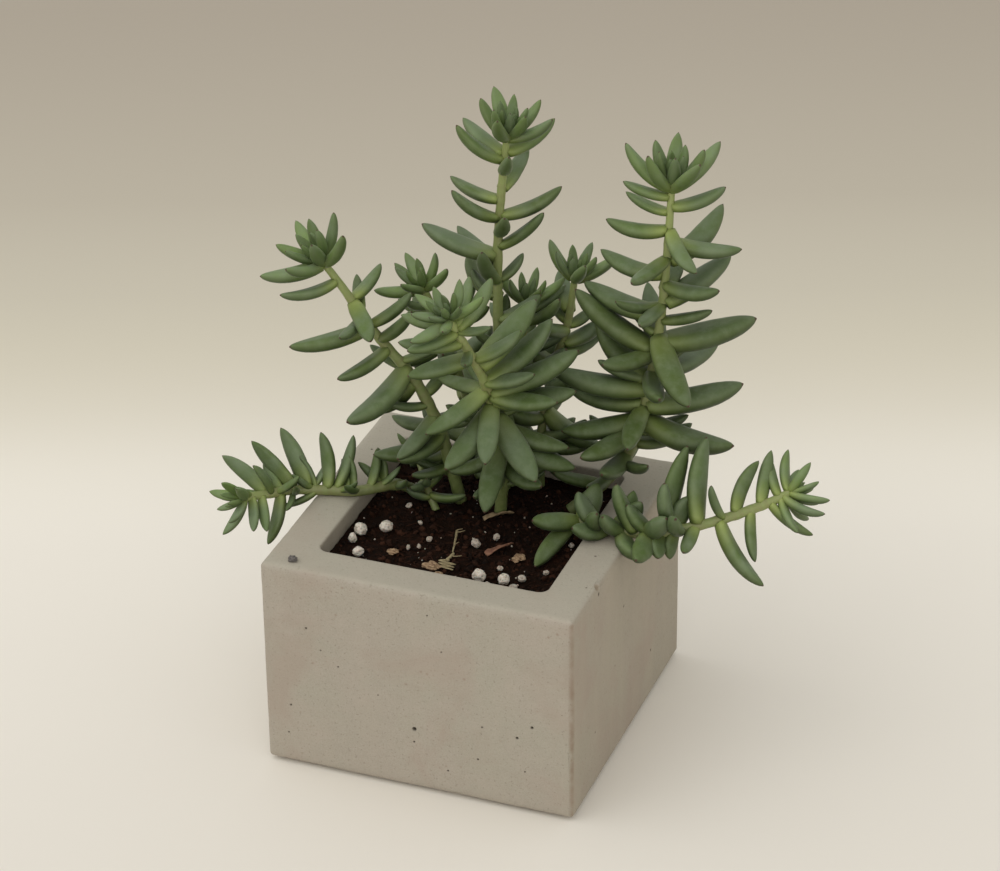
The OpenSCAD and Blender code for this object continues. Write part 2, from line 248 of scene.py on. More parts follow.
def turned(verts, centre, rng):
    """Turns the points about their centre by a random angle."""
    a, b, c = (rng.uniform(0, 2 * math.pi) for _ in range(3))
    ca, sa, cb, sb, cc, sc = math.cos(a), math.sin(a), math.cos(b), math.sin(b), math.cos(c), math.sin(c)
    m = (np.array([[ca, -sa, 0], [sa, ca, 0], [0, 0, 1]]) @ np.array([[1, 0, 0], [0, cb, -sb], [0, sb, cb]])
         @ np.array([[cc, -sc, 0], [sc, cc, 0], [0, 0, 1]]))
    return (verts - centre) @ m.T + centre


# ---- Material helpers ----
class Nodes:
    """A short way to wire a material."""

    def __init__(self, name):
        self.material = bpy.data.materials.new(name)
        self.material.use_nodes = True
        self.tree = self.material.node_tree
        self.bsdf = self.tree.nodes["Principled BSDF"]
        self.place = self.tree.nodes.new("ShaderNodeTexCoord").outputs["Object"]

    def node(self, kind, inputs=None, **settings):
        n = self.tree.nodes.new(kind)
        for key, value in settings.items():
            setattr(n, key, value)
        for key, value in (inputs or {}).items():
            self.put(n.inputs[key], value)
        return n

    def put(self, socket, value):
        if isinstance(value, bpy.types.NodeSocket):
            self.tree.links.new(value, socket)
        else:
            socket.default_value = value

    def noise(self, scale, detail=4.0, rough=0.55, warp=0.0):
        return self.node("ShaderNodeTexNoise", {"Vector": self.place, "Scale": scale, "Detail": detail,
                                                "Roughness": rough, "Distortion": warp}).outputs["Fac"]

    def cells(self, scale, feature="F1"):
        return self.node("ShaderNodeTexVoronoi", {"Vector": self.place, "Scale": scale},
                         feature=feature).outputs["Distance"]

    def band(self, value, low, high, to_low=0.0, to_high=1.0):
        return self.node("ShaderNodeMapRange", {"Value": value, "From Min": low, "From Max": high,
                                                "To Min": to_low, "To Max": to_high}).outputs["Result"]

    def stretched_noise(self, stretch, scale, detail):
        place = self.node("ShaderNodeMapping", {"Vector": self.place, "Scale": stretch}).outputs["Vector"]
        inputs = {"Vector": place, "Scale": scale, "Detail": detail}
        return self.node("ShaderNodeTexNoise", inputs).outputs["Fac"]

    def facing(self, axis):
        """How far the surface faces along a world axis, -1 to 1."""
        normal = self.node("ShaderNodeNewGeometry").outputs["Normal"]
        return self.node("ShaderNodeSeparateXYZ", {0: normal}).outputs[axis]

    def math(self, kind, a, b=0.0):
        return self.node("ShaderNodeMath", {0: a, 1: b}, operation=kind).outputs[0]

    def times(self, a, b):
        return self.math("MULTIPLY", a, b)

    def mix(self, factor, a, b, blend="MIX"):
        n = self.node("ShaderNodeMix", {0: factor}, data_type="RGBA", blend_type=blend)
        for key, value in ((6, a), (7, b)):
            self.put(n.inputs[key], (*value, 1.0) if isinstance(value, tuple) else value)
        return n.outputs[2]

    def attribute(self, name):
        return self.node("ShaderNodeAttribute", attribute_name=name).outputs["Fac"]

    def bump(self, height, distance, strength=1.0, normal=None):
        inputs = {"Height": height, "Distance": distance, "Strength": strength}
        if normal is not None:
            inputs["Normal"] = normal
        return self.node("ShaderNodeBump", inputs).outputs["Normal"]

    def finish(self, colour, roughness, normal=None, **sockets):
        self.put(self.bsdf.inputs["Base Color"], (*colour, 1.0) if isinstance(colour, tuple) else colour)
        self.put(self.bsdf.inputs["Roughness"], roughness)
        if normal is not None:
            self.put(self.bsdf.inputs["Normal"], normal)
        for key, value in sockets.items():
            self.put(self.bsdf.inputs[key.replace("_", " ")], value)
        return self.material


# ---- Materials ----
CONCRETE_TONES = {
    "warm": (0.392, 0.345, 0.288), "cool": (0.378, 0.352, 0.283), "patch": (0.425, 0.362, 0.305),
    "mottle": (0.315, 0.283, 0.225), "sand": (0.52, 0.48, 0.41), "fleck": (0.20, 0.175, 0.135),
    "speck": (0.24, 0.16, 0.11), "streak": (0.46, 0.41, 0.33), "right_side_shade": (0.355, 0.305, 0.225),
    "edge_line": (0.235, 0.165, 0.11), "stain": (0.37, 0.29, 0.235), "top": (0.50, 0.475, 0.375),
    "pore": (0.13, 0.115, 0.085), "pinhole": (0.055, 0.045, 0.033), "worn": (0.29, 0.235, 0.165)}


def concrete_edge_line(m):
    """A broken line down the near vertical edge: its share of the colour."""
    place = m.node("ShaderNodeSeparateXYZ", {0: m.place}).outputs
    off_edge = m.math("SUBTRACT", m.math("SUBTRACT", place["Y"], place["X"]), -2 * HALF)
    near = m.band(off_edge, 0.9 * MM, 1.5 * MM, 1.0, 0.0)
    return m.times(near, m.band(m.noise(180, 4), 0.35, 0.6, 0.25, 0.8))


def concrete_material():
    m, tone = Nodes("concrete"), CONCRETE_TONES
    clouds = m.band(m.noise(22, 5, 0.6), 0.35, 0.65)
    patches = m.band(m.noise(60, 4, 0.6, 0.4), 0.42, 0.62)
    mottle = m.band(m.noise(260, 5, 0.65), 0.3, 0.7)
    grain = m.noise(1900, 3, 0.7)
    colour = m.mix(clouds, tone["warm"], tone["cool"])
    colour = m.mix(m.times(patches, 0.5), colour, tone["patch"])
    colour = m.mix(m.times(mottle, 0.38), colour, tone["mottle"])
    colour = m.mix(m.band(grain, 0.35, 0.65, 0.0, 0.36), colour, tone["sand"])
    colour = m.mix(m.band(m.noise(1100, 2), 0.60, 0.70, 0.0, 0.45), colour, tone["fleck"])
    specks = m.times(m.band(m.cells(230), 0.05, 0.15, 0.5, 0.0), m.band(m.noise(70, 3), 0.5, 0.6))
    colour = m.mix(specks, colour, tone["speck"])
    # The right side has more pale streaks
    to_right = m.facing("X")
    streaks = m.band(m.stretched_noise((1, 1, 0.12), 130.0, 4.0), 0.45, 0.65)
    colour = m.mix(m.times(streaks, m.band(to_right, 0.5, 0.9, 0.12, 0.45)), colour, tone["streak"])
    # Painted shade: the right side is made warmer and darker
    colour = m.mix(m.band(to_right, 0.5, 0.9, 0.0, 0.4), colour, tone["right_side_shade"])
    colour = m.mix(concrete_edge_line(m), colour, tone["edge_line"])
    stain = m.times(m.band(m.noise(34, 4, 0.6, 0.6), 0.52, 0.68), 0.4)
    colour = m.mix(stain, colour, tone["stain"])
    # Painted light: faces that look up are made paler
    colour = m.mix(m.band(m.facing("Z"), 0.6, 0.95, 0.0, 0.35), colour, tone["top"])
    # Fine pores in a few places, darkened with painted shade; the larger pinholes and chips are in the mesh
    solid = m.band(m.cells(420), 0.05, 0.10, 0.0, 1.0)
    pores = m.times(m.math("SUBTRACT", 1.0, solid), m.band(m.noise(140, 2), 0.60, 0.64))
    colour = m.mix(m.times(pores, 0.55), colour, tone["pore"])
    # Painted shade inside the pinholes
    colour = m.mix(m.attribute("pinhole_shade"), colour, tone["pinhole"])
    colour = m.mix(m.attribute("worn"), colour, tone["worn"])
    height = m.math("SUBTRACT", m.noise(520, 6, 0.7), m.times(pores, 1.2))
    normal = m.bump(grain, 0.12 * MM, 0.35, m.bump(height, 0.25 * MM, 0.5))
    return m.finish(colour, m.band(grain, 0.3, 0.7, 0.78, 0.93), normal, Specular_IOR_Level=0.35)


def cork_material():
    m = Nodes("cork")
    cells = m.cells(700)
    colour = m.mix(m.band(cells, 0.1, 0.5), (0.10, 0.05, 0.022), (0.34, 0.19, 0.09))
    colour = m.mix(m.band(m.noise(900), 0.4, 0.7, 0.0, 0.5), colour, (0.42, 0.26, 0.13))
    return m.finish(colour, 0.85, m.bump(cells, 0.2 * MM, 0.7))


def mesh_material():
    m = Nodes("drain_mesh_plastic")
    fine = m.noise(1500)
    colour = m.mix(m.band(fine, 0.3, 0.7), (0.015, 0.015, 0.016), (0.03, 0.03, 0.03))
    return m.finish(colour, m.band(fine, 0.3, 0.7, 0.45, 0.65), m.bump(fine, 0.05 * MM, 0.4))


def clay_material():
    m = Nodes("fired_clay")
    fine = m.noise(900, 6, 0.7)
    colour = m.mix(m.band(fine, 0.3, 0.7), (0.16, 0.055, 0.028), (0.36, 0.15, 0.08))
    colour = m.mix(m.band(m.cells(500), 0.02, 0.12, 0.6, 0.0), colour, (0.06, 0.03, 0.02))
    return m.finish(colour, 0.9, m.bump(fine, 0.5 * MM, 0.8))


def grit_material():
    m = Nodes("grit")
    fine = m.noise(1400, 5, 0.7)
    colour = m.mix(m.band(fine, 0.3, 0.7), (0.05, 0.045, 0.042), (0.20, 0.18, 0.165))
    return m.finish(colour, 0.8, m.bump(fine, 0.3 * MM, 0.8))


def soil_material():
    m = Nodes("potting_soil")
    fine = m.noise(900, 6, 0.75)
    colour = m.mix(m.band(fine, 0.35, 0.7), (0.004, 0.002, 0.001), (0.024, 0.010, 0.005))
    colour = m.mix(m.band(m.noise(260, 3), 0.55, 0.72, 0.0, 0.7), colour, (0.042, 0.014, 0.007))
    normal = m.bump(fine, 0.8 * MM, 0.9)
    return m.finish(colour, m.band(fine, 0.3, 0.7, 0.8, 1.0), normal, Specular_IOR_Level=0.1)


def crumb_material():
    m = Nodes("soil_crumbs")
    tone = m.attribute("tone")
    fine = m.noise(1600, 5, 0.7)
    colour = m.mix(tone, (0.005, 0.003, 0.002), (0.050, 0.020, 0.011))
    colour = m.mix(m.band(fine, 0.5, 0.72, 0.0, 0.45), colour, (0.085, 0.034, 0.017))
    return m.finish(colour, 0.9, m.bump(fine, 0.4 * MM, 0.9), Specular_IOR_Level=0.12)


def perlite_material():
    m = Nodes("perlite")
    pores = m.cells(1100)
    colour = m.mix(m.band(pores, 0.1, 0.5), (0.36, 0.31, 0.245), (0.72, 0.66, 0.57))
    colour = m.mix(m.band(m.noise(500, 4), 0.5, 0.72, 0.0, 0.65), colour, (0.33, 0.25, 0.17))
    colour = m.mix(m.attribute("tone"), colour, (0.17, 0.12, 0.08))
    return m.finish(colour, 0.9, m.bump(pores, 0.35 * MM, 0.8), Subsurface_Weight=0.1,
                    Subsurface_Scale=0.6 * MM)


def bark_material():
    m = Nodes("wood_chips")
    grain = m.stretched_noise((1, 3, 1), 900.0, 5.0)
    colour = m.mix(m.band(grain, 0.35, 0.65), (0.17, 0.09, 0.045), (0.48, 0.34, 0.20))
    return m.finish(colour, 0.8, m.bump(grain, 0.3 * MM, 0.8))


def dry_material():
    m = Nodes("dry_matter")
    fine = m.noise(800, 5, 0.6)
    tone = m.attribute("tone")
    colour = m.mix(m.band(fine, 0.3, 0.7), (0.13, 0.05, 0.03), (0.30, 0.15, 0.085))
    colour = m.mix(tone, colour, m.mix(m.band(fine, 0.3, 0.7), (0.22, 0.18, 0.09), (0.42, 0.36, 0.20)))
    return m.finish(colour, 0.75, m.bump(fine, 0.3 * MM, 0.7))


def stem_material():
    m = Nodes("green_stem")
    young = m.attribute("young")
    fine = m.noise(420, 4, 0.6)
    colour = m.mix(young, (0.145, 0.185, 0.055), (0.31, 0.36, 0.125))
    colour = m.mix(m.band(fine, 0.4, 0.7, 0.0, 0.4), colour, (0.29, 0.32, 0.14))
    colour = m.mix(m.attribute("scar"), colour, (0.20, 0.13, 0.07))
    normal = m.bump(m.noise(1300, 3), 0.08 * MM, 0.5)
    return m.finish(colour, m.band(fine, 0.3, 0.7, 0.42, 0.55), normal, Subsurface_Weight=0.15,
                    Subsurface_Scale=1.5 * MM, Subsurface_Radius=(0.5, 1.0, 0.25))


LEAF_TONES = {
    "grown": (0.088, 0.138, 0.035), "young": (0.155, 0.235, 0.062), "old": (0.052, 0.083, 0.017),
    "grey": (0.112, 0.155, 0.078), "deep": (0.070, 0.100, 0.020), "bloom": (0.170, 0.218, 0.130),
    "fleck": (0.18, 0.225, 0.125), "margin": (0.19, 0.24, 0.09), "foot": (0.255, 0.315, 0.078),
    "end": (0.045, 0.070, 0.018), "point": (0.070, 0.034, 0.02)}
# Factors on the leaf's colour: under and upper side, and crevice
UNDER_SHADE = (0.46, 0.50, 0.32)
UPPER_SHADE = (1.46, 1.41, 1.62)
CREVICE_SHADE = (0.36, 0.40, 0.28)
CREVICE_REACH = 12 * MM


def leaf_material():
    m, hue = Nodes("glaucous_leaf"), LEAF_TONES
    along, margin = m.attribute("along"), m.attribute("margin")
    young, old, tone = m.attribute("young"), m.attribute("old"), m.attribute("tone")
    fine = m.noise(330, 5, 0.6)
    # Each leaf's green, by age and chance, with painted shade on the older leaves lower on a shoot
    colour = m.mix(young, hue["grown"], hue["young"])
    colour = m.mix(m.times(old, 0.85), colour, hue["old"])
    colour = m.mix(m.band(tone, 0.45, 1.0, 0.0, 0.7), colour, hue["grey"])
    colour = m.mix(m.band(tone, 0.0, 0.35, 0.45, 0.0), colour, hue["deep"])
    # Waxy bloom, flecks, a paler margin that is partly the leaf's own colour and partly painted sheen,
    # yellow foot and dark end
    bloom = m.times(m.band(m.noise(120, 4, 0.6), 0.42, 0.68), m.band(old, 0.0, 1.0, 0.5, 0.25))
    colour = m.mix(bloom, colour, hue["bloom"])
    colour = m.mix(m.band(fine, 0.45, 0.7, 0.0, 0.3), colour, hue["fleck"])
    # Paler margin: partly the leaf's colour, partly painted sheen
    colour = m.mix(m.times(m.math("POWER", margin, 5.0), 0.2), colour, hue["margin"])
    foot = m.math("POWER", m.math("SUBTRACT", 1.0, m.band(along, 0.0, 0.46)), 1.4)
    colour = m.mix(m.times(foot, m.band(old, 0.0, 1.0, 0.95, 0.55)), colour, hue["foot"])
    colour = m.mix(m.band(along, 0.62, 0.97, 0.0, 0.35), colour, hue["end"])
    # Pale where it faces up, dark below and where leaves meet
    shade = m.mix(m.band(m.facing("Z"), -0.65, 0.85), UNDER_SHADE, UPPER_SHADE)
    colour = m.mix(1.0, colour, shade, "MULTIPLY")
    depth = m.node("ShaderNodeAmbientOcclusion", {"Distance": CREVICE_REACH}, samples=4).outputs["AO"]
    crevice = m.mix(m.band(depth, 0.2, 0.9), CREVICE_SHADE, (1.0, 1.0, 1.0))
    colour = m.mix(m.band(young, 0.0, 1.0, 1.0, 0.25), colour, crevice, "MULTIPLY")
    colour = m.mix(m.band(along, 0.978, 0.994), colour, hue["point"])
    normal = m.bump(m.noise(700, 4, 0.6), 0.12 * MM, 0.35)
    return m.finish(colour, m.band(fine, 0.3, 0.7, 0.42, 0.60), normal, Subsurface_Weight=0.12,
                    Subsurface_Scale=1.5 * MM, Subsurface_Radius=(0.5, 1.0, 0.25), Sheen_Weight=0.05,
                    Sheen_Roughness=0.45, Sheen_Tint=(0.8, 0.9, 0.8, 1.0), Specular_IOR_Level=0.38)


# ---- Planter pieces ----
LEAST_CORNER = 0.03 * MM
SIDE_POINTS = 56
CORNER_POINTS = 6
FILLET_STEPS = 6
WALL_RINGS = 40
# Shares of the way from the drain hole to the edge, and down the cavity's walls, where rings lie
BASE_SHARES = (0.0, 0.02, 0.1, 0.3, 0.6, 0.85)
FLOOR_SHARES = (0.8, 0.5, 0.2, 0.0)
CAVITY_SHARES = (0.02, 0.05, 0.09, 0.13, 0.2, 0.4, 0.6, 0.8, 1.0)


def outline(half, corner, per_side, per_corner):
    """The points of a rounded square, counter-clockwise from the lower end of its right side."""
    corner = max(corner, LEAST_CORNER)
    flat = half - corner
    points = []
    for quarter in range(4):
        a0 = math.pi / 2 * quarter
        c, s = math.cos(a0), math.sin(a0)
        local = [(half, -flat + 2 * flat * k / per_side) for k in range(per_side)]
        local += [(flat + corner * math.cos(t), flat + corner * math.sin(t))
                  for t in (math.pi / 2 * k / per_corner for k in range(per_corner))]
        points += [(c * x - s * y, s * x + c * y) for x, y in local]
    return np.array(points)


def shell_mesh():
    """Rings of points from the drain hole out, up the walls, over the rim, down inside and back."""
    rings = []

    def ring(inset, z, corner):
        flat = outline(HALF - inset, corner, SIDE_POINTS, CORNER_POINTS)
        rings.append(np.column_stack([flat, np.full(len(flat), z)]))

    def hole(z, reach, share):
        flat = outline(reach, 0.05 * MM, SIDE_POINTS, CORNER_POINTS)
        angle = np.arctan2(flat[:, 1], flat[:, 0])
        circle = DRAIN_R * np.column_stack([np.cos(angle), np.sin(angle)])
        flat = circle * (1 - share) + flat * share
        rings.append(np.column_stack([flat, np.full(len(flat), z)]))

    for share in BASE_SHARES:
        hole(BASE_Z, HALF - EDGE_R, share)
    for k in range(FILLET_STEPS + 1):
        a = math.pi / 2 * k / FILLET_STEPS
        ring(EDGE_R * (1 - math.sin(a)), BASE_Z + EDGE_R * (1 - math.cos(a)), EDGE_R * math.sin(a))
    for k in range(1, WALL_RINGS):
        ring(0, BASE_Z + EDGE_R + (RIM_Z - BASE_Z - 2 * EDGE_R) * k / WALL_RINGS, EDGE_R)
    for k in range(FILLET_STEPS + 1):
        a = math.pi / 2 * k / FILLET_STEPS
        ring(EDGE_R * (1 - math.cos(a)), RIM_Z - EDGE_R * (1 - math.sin(a)), EDGE_R * math.cos(a))
    wall = HALF - INNER
    for k in range(1, 8):
        t = k / 8
        ring(EDGE_R + (wall - EDGE_R - LIP_R) * t, RIM_Z, (CAVITY_R + LIP_R) * t)
    for k in range(5):
        a = math.pi / 2 * k / 4
        ring(wall - LIP_R * (1 - math.sin(a)), RIM_Z - LIP_R * (1 - math.cos(a)),
             CAVITY_R + LIP_R * (1 - math.sin(a)))
    for t in CAVITY_SHARES:
        ring(wall, RIM_Z - LIP_R + (FLOOR_Z - RIM_Z + LIP_R) * t, CAVITY_R)
    for share in FLOOR_SHARES:
        hole(FLOOR_Z, INNER - CAVITY_R / 3, share)
    hole((FLOOR_Z + BASE_Z) / 2, INNER, 0.0)
    return np.concatenate(rings), strip_faces(len(rings), len(rings[0]), closed=True)


# How many pinholes the back and left walls and the rim have, and how far they lie from the middle in mm
WALL_PINHOLES = 13
RIM_PINHOLES = 7
PINHOLE_SPAN = 44


def all_pinholes():
    """Place and radius of every pinhole."""
    rng = random.Random(5)

    def across():
        return rng.uniform(-PINHOLE_SPAN, PINHOLE_SPAN) * MM

    def height():
        return rng.uniform(6, 66) * MM

    def radius(low=0.35, high=0.7):
        return rng.uniform(low, high) * MM

    holes = [((x * MM, -HALF, z * MM), r * MM) for x, z, r in FRONT_PINHOLES]
    holes += [((HALF, y * MM, z * MM), r * MM) for y, z, r in RIGHT_PINHOLES]
    for _ in range(WALL_PINHOLES):
        holes.append(((across(), HALF, height()), radius()))
        holes.append(((-HALF, across(), height()), radius()))
    for _ in range(RIM_PINHOLES):
        side = rng.choice([-1, 1]) * rng.uniform(40, 47) * MM
        holes.append(((side, across(), RIM_Z), radius(0.25, 0.4)))
    return holes


# Distances in mm round a pinhole or chip within which edges are halved, in turn
REFINE_REACHES = (2.2, 1.2, 0.6)


def refine(bm, spots):
    """Makes the mesh finer near the spots."""
    for reach in REFINE_REACHES:
        edges = set()
        for place, r in spots:
            limit = r + reach * MM
            for e in bm.edges:
                mid = (e.verts[0].co + e.verts[1].co) / 2
                if (abs(mid.x - place.x) < limit and abs(mid.y - place.y) < limit
                        and abs(mid.z - place.z) < limit):
                    edges.add(e)
        bmesh.ops.subdivide_edges(bm, edges=list(edges), cuts=1, use_grid_fill=True)


def concrete_wave(p):
    """The cast surface's unevenness at a point, in mm, with worn edges."""
    on_wall = max(abs(p.x), abs(p.y)) > INNER + 1 * MM
    wave = 0.10 * noise.noise(p * 35) + 0.05 * noise.noise(p * 160) if on_wall else 0.0
    outer_faces = sum((abs(p.x) > HALF - EDGE_R, abs(p.y) > HALF - EDGE_R,
                       p.z > RIM_Z - EDGE_R or p.z < BASE_Z + EDGE_R))
    if outer_faces >= 2:
        wave -= 0.10 + 0.22 * max(noise.noise(p * 210) - 0.05, 0)
    return wave


def concrete_damage(p, holes, chips):
    """How deep the pinholes and chips go at a point, how much painted shade darkens it in a pinhole, and how
    worn in a chip.
    """
    depth, dark, worn = 0.0, 0.0, 0.0
    for place, r in holes:
        d = (p - place).length / r
        if d < 1.6:
            depth = max(depth, 1.3 * r * max(1 - d * d, 0) ** 0.5)
            dark = max(dark, min(max((1.35 - d) / 0.6, 0), 1))
    for place, r in chips:
        d = (p - place).length / r * (1 + 0.35 * noise.noise(p * 900))
        if d < 1:
            depth = max(depth, 0.42 * r * (1 - d * d))
            worn = max(worn, min((1 - d) * 2.2, 0.85))
    return depth, dark, worn


def make_shell(material):
    verts, faces = shell_mesh()
    bm = bmesh.new()
    for v in verts:
        bm.verts.new(v)
    bm.verts.ensure_lookup_table()
    for f in faces:
        bm.faces.new([bm.verts[i] for i in f])
    bmesh.ops.recalc_face_normals(bm, faces=bm.faces)
    holes = [(Vector(place), r) for place, r in all_pinholes()]
    chips = [(Vector([c * MM for c in place]), r * MM) for place, r in CHIPS_OUT]
    refine(bm, holes + chips)
    bm.normal_update()
    moves, pinhole_shade, worn = [], [], []
    for v in bm.verts:
        depth, dark, rub = concrete_damage(v.co, holes, chips)
        moves.append(v.normal * (concrete_wave(v.co) * MM - depth))
        pinhole_shade.append(dark)
        worn.append(rub)
    for v, move in zip(bm.verts, moves):
        v.co += move
        v.co.z = max(v.co.z, BASE_Z)
    obj = object_from_bmesh("concrete_shell", bm, material)
    add_attribute(obj, "pinhole_shade", pinhole_shade)
    add_attribute(obj, "worn", worn)
    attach(obj, "planter")
    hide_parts("planter_shell")


def make_rim_crumb(material):
    lo, hi = (np.array(c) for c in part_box("rim_crumb"))
    size = (hi - lo) / 2
    verts, faces = lump((lo + hi) / 2, size, 4, 0.45, 3, 1.6)
    verts = np.clip(verts, lo, hi)
    flat = np.array([noise.noise(Vector(v) * 900) for v in verts])
    verts += flat[:, None] * 0.12 * MM * np.array([1, 1, 0])
    parts = Parts()
    parts.add(verts, faces)
    obj = parts.build("rim_stone_crumb", material)
    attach(obj, "planter")
    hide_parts("rim_crumb")


# ---- Soil pieces ----
SOIL_CRUMBS = 1500
SOIL_FIBRES = 420
SIDE_ROOTS = 110
PERLITE_SPECKS = 70
TOP_CELLS = 110
SIDE_RINGS = 26
# Radius of the root ball's upright edges in mm
BALL_CORNER = 2.7


def soil_height(x, y):
    """Height of the crumbly surface over the soil's level."""
    p = Vector((x, y, 0.0))
    wall = max(abs(x), abs(y)) / INNER
    broad = 0.55 * noise.noise(p * 90) + 0.5 * noise.noise(p * 260) + 0.30 * noise.noise(p * 700)
    return (broad - 0.35 + 0.6 * max(wall - 0.8, 0) * 3) * MM


def round_corners(bm, half):
    """Moves vertices that lie in the four square corners onto a round one."""
    corner = Vector((BALL_CORNER, BALL_CORNER)) * MM
    for v in bm.verts:
        over = Vector((abs(v.co.x), abs(v.co.y))) - Vector((half, half)) + corner
        if over.x > 0 and over.y > 0 and over.length > BALL_CORNER * MM:
            scale = BALL_CORNER * MM / over.length
            v.co.x = math.copysign(half - BALL_CORNER * MM + over.x * scale, v.co.x)
            v.co.y = math.copysign(half - BALL_CORNER * MM + over.y * scale, v.co.y)


def make_root_ball(material):
    lo, hi = np.array(SOIL_LO), np.array(SOIL_HI)
    steps = np.linspace(lo[0], hi[0], TOP_CELLS + 1)
    bm = bmesh.new()
    grid = [[bm.verts.new((x, y, SOIL_Z + soil_height(x, y))) for x in steps] for y in steps]
    for j in range(TOP_CELLS):
        for i in range(TOP_CELLS):
            bm.faces.new([grid[j][i], grid[j][i + 1], grid[j + 1][i + 1], grid[j + 1][i]])
    rim = (grid[0][:-1] + [row[-1] for row in grid[:-1]] + grid[-1][:0:-1] + [row[0] for row in grid[:0:-1]])
    previous = rim
    for k in range(1, SIDE_RINGS + 1):
        z = SOIL_Z + (lo[2] - SOIL_Z) * k / SIDE_RINGS
        fresh = []
        for v in rim:
            p = Vector((v.co.x, v.co.y, z))
            dent = 0.35 + 0.5 * noise.noise(p * 200) + 0.3 * noise.noise(p * 600)
            shrink = 1 - max(dent, 0) * MM / hi[0]
            fresh.append(bm.verts.new((p.x * shrink, p.y * shrink, z)))
        for i in range(len(rim)):
            j = (i + 1) % len(rim)
            bm.faces.new([previous[i], fresh[i], fresh[j], previous[j]])
        previous = fresh
    bm.faces.new(previous[::-1])
    round_corners(bm, hi[0])
    bmesh.ops.recalc_face_normals(bm, faces=bm.faces)
    obj = object_from_bmesh("soil_root_ball", bm, material)
    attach(obj, "planting")
    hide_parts("root_ball")


def soil_crumbs(parts, rng, reach):
    for i in range(SOIL_CRUMBS):
        x, y = rng.uniform(-reach, reach), rng.uniform(-reach, reach)
        r = rng.choice((0.3, 0.4, 0.5, 0.7, 0.95)) * MM * rng.uniform(0.8, 1.3)
        centre = np.array([x, y, SOIL_Z + soil_height(x, y) + r * rng.uniform(-0.2, 0.4)])
        size = np.array([r * rng.uniform(0.7, 1.4), r * rng.uniform(0.7, 1.2), r * rng.uniform(0.5, 0.9)])
        verts, faces = lump(centre, size, 2 if r > 0.6 * MM else 1, 0.6, i * 0.37)
        parts.add(turned(verts, centre, rng), faces, tone=rng.random() ** 2)


def soil_fibres(parts, rng, reach):
    for _ in range(SOIL_FIBRES):
        x, y = rng.uniform(-reach, reach) * 0.97, rng.uniform(-reach, reach) * 0.97
        a, long = rng.uniform(0, 2 * math.pi), rng.uniform(1.2, 4.5) * MM
        base = np.array([x, y, SOIL_Z + soil_height(x, y) + 0.2 * MM])
        way = np.array([math.cos(a), math.sin(a), rng.uniform(-0.05, 0.3)])
        bend = np.array([-math.sin(a), math.cos(a), 0.1]) * rng.uniform(-0.25, 0.25) * long
        line = np.array([base - way * long / 2, base + bend * 0.7, base + way * long / 2 + bend * 0.2])
        limit = INNER - 0.8 * MM
        line[:, :2] = np.clip(line[:, :2], -limit, limit)
        line = smooth_line(line, 3)
        r = rng.uniform(0.07, 0.2) * MM
        verts, faces = tube(line, np.linspace(r, r * 0.5, len(line)), 5)
        parts.add(verts, faces, tone=0.4 + 0.6 * rng.random())


def make_soil_crumbs(material):
    rng, parts = random.Random(11), Parts()
    reach = INNER - 1.2 * MM
    soil_crumbs(parts, rng, reach)
    soil_fibres(parts, rng, reach)
    obj = parts.build("soil_crumbs_and_fibres", material)
    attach(obj, "planting")


def make_ball_roots(material):
    """Fine roots that run over the sides of the root ball."""
    rng, parts = random.Random(23), Parts()
    low, edge, step = SOIL_LO[2] + 1 * MM, 0.93 * INNER, 2.6 * MM
    for _ in range(SIDE_ROOTS):
        side = rng.randrange(4)
        u, z = rng.uniform(-0.9, 0.9) * INNER, rng.uniform(low, SOIL_Z - 3 * MM)
        heading = rng.uniform(-0.9, 0.9) - math.pi / 2
        line = []
        for _ in range(9):
            line.append([np.clip(u, -edge, edge), -SOIL_HI[0] + 0.32 * MM, np.clip(z, low, SOIL_Z)])
            heading += rng.uniform(-0.55, 0.55)
            u += math.cos(heading) * step
            z += math.sin(heading) * step
        line = smooth_line(line, 2)
        c, s = math.cos(side * math.pi / 2), math.sin(side * math.pi / 2)
        line = line @ np.array([[c, s, 0], [-s, c, 0], [0, 0, 1]])
        r = rng.uniform(0.10, 0.24) * MM
        verts, faces = tube(line, np.linspace(r, r * 0.5, len(line)), 5)
        parts.add(verts, faces, tone=0.7 + 0.3 * rng.random())
    obj = parts.build("fine_roots", material)
    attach(obj, "planting")


def make_perlite(material):
    rng, parts = random.Random(3), Parts()
    for i, points in enumerate(islands("perlite_grains")):
        lo, hi = points.min(0), points.max(0)
        r = (hi - lo) / 2
        size = r * np.array([1.0, rng.uniform(0.78, 1.0), rng.uniform(0.72, 0.9)])
        centre = (lo + hi) / 2 - np.array([0, 0, r[2] * 0.12])
        verts, faces = lump(centre, size * 1.02, 4, 0.2, 1.7 + i, 1.3)
        parts.add(turned(verts, centre, rng), faces, tone=0.0 if r.mean() > 1.5 * MM else 0.4)
    obj = parts.build("perlite_grains_popped", material)
    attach(obj, "planting")
    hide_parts("perlite_grains")
    make_perlite_dust(rng, material)


def make_perlite_dust(rng, material):
    specks = Parts()
    reach = INNER - 1.5 * MM
    for i in range(PERLITE_SPECKS):
        x, y = rng.uniform(-reach, reach), rng.uniform(-reach, reach)
        r = rng.uniform(0.15, 0.45) * MM
        centre = np.array([x, y, SOIL_Z + soil_height(x, y) + r * 0.6])
        verts, faces = lump(centre, np.array([r, r * 0.8, r * 0.7]), 2, 0.5, i * 0.9)
        specks.add(turned(verts, centre, rng), faces, tone=0.35)
    obj = specks.build("perlite_dust", material)
    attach(obj, "planting")


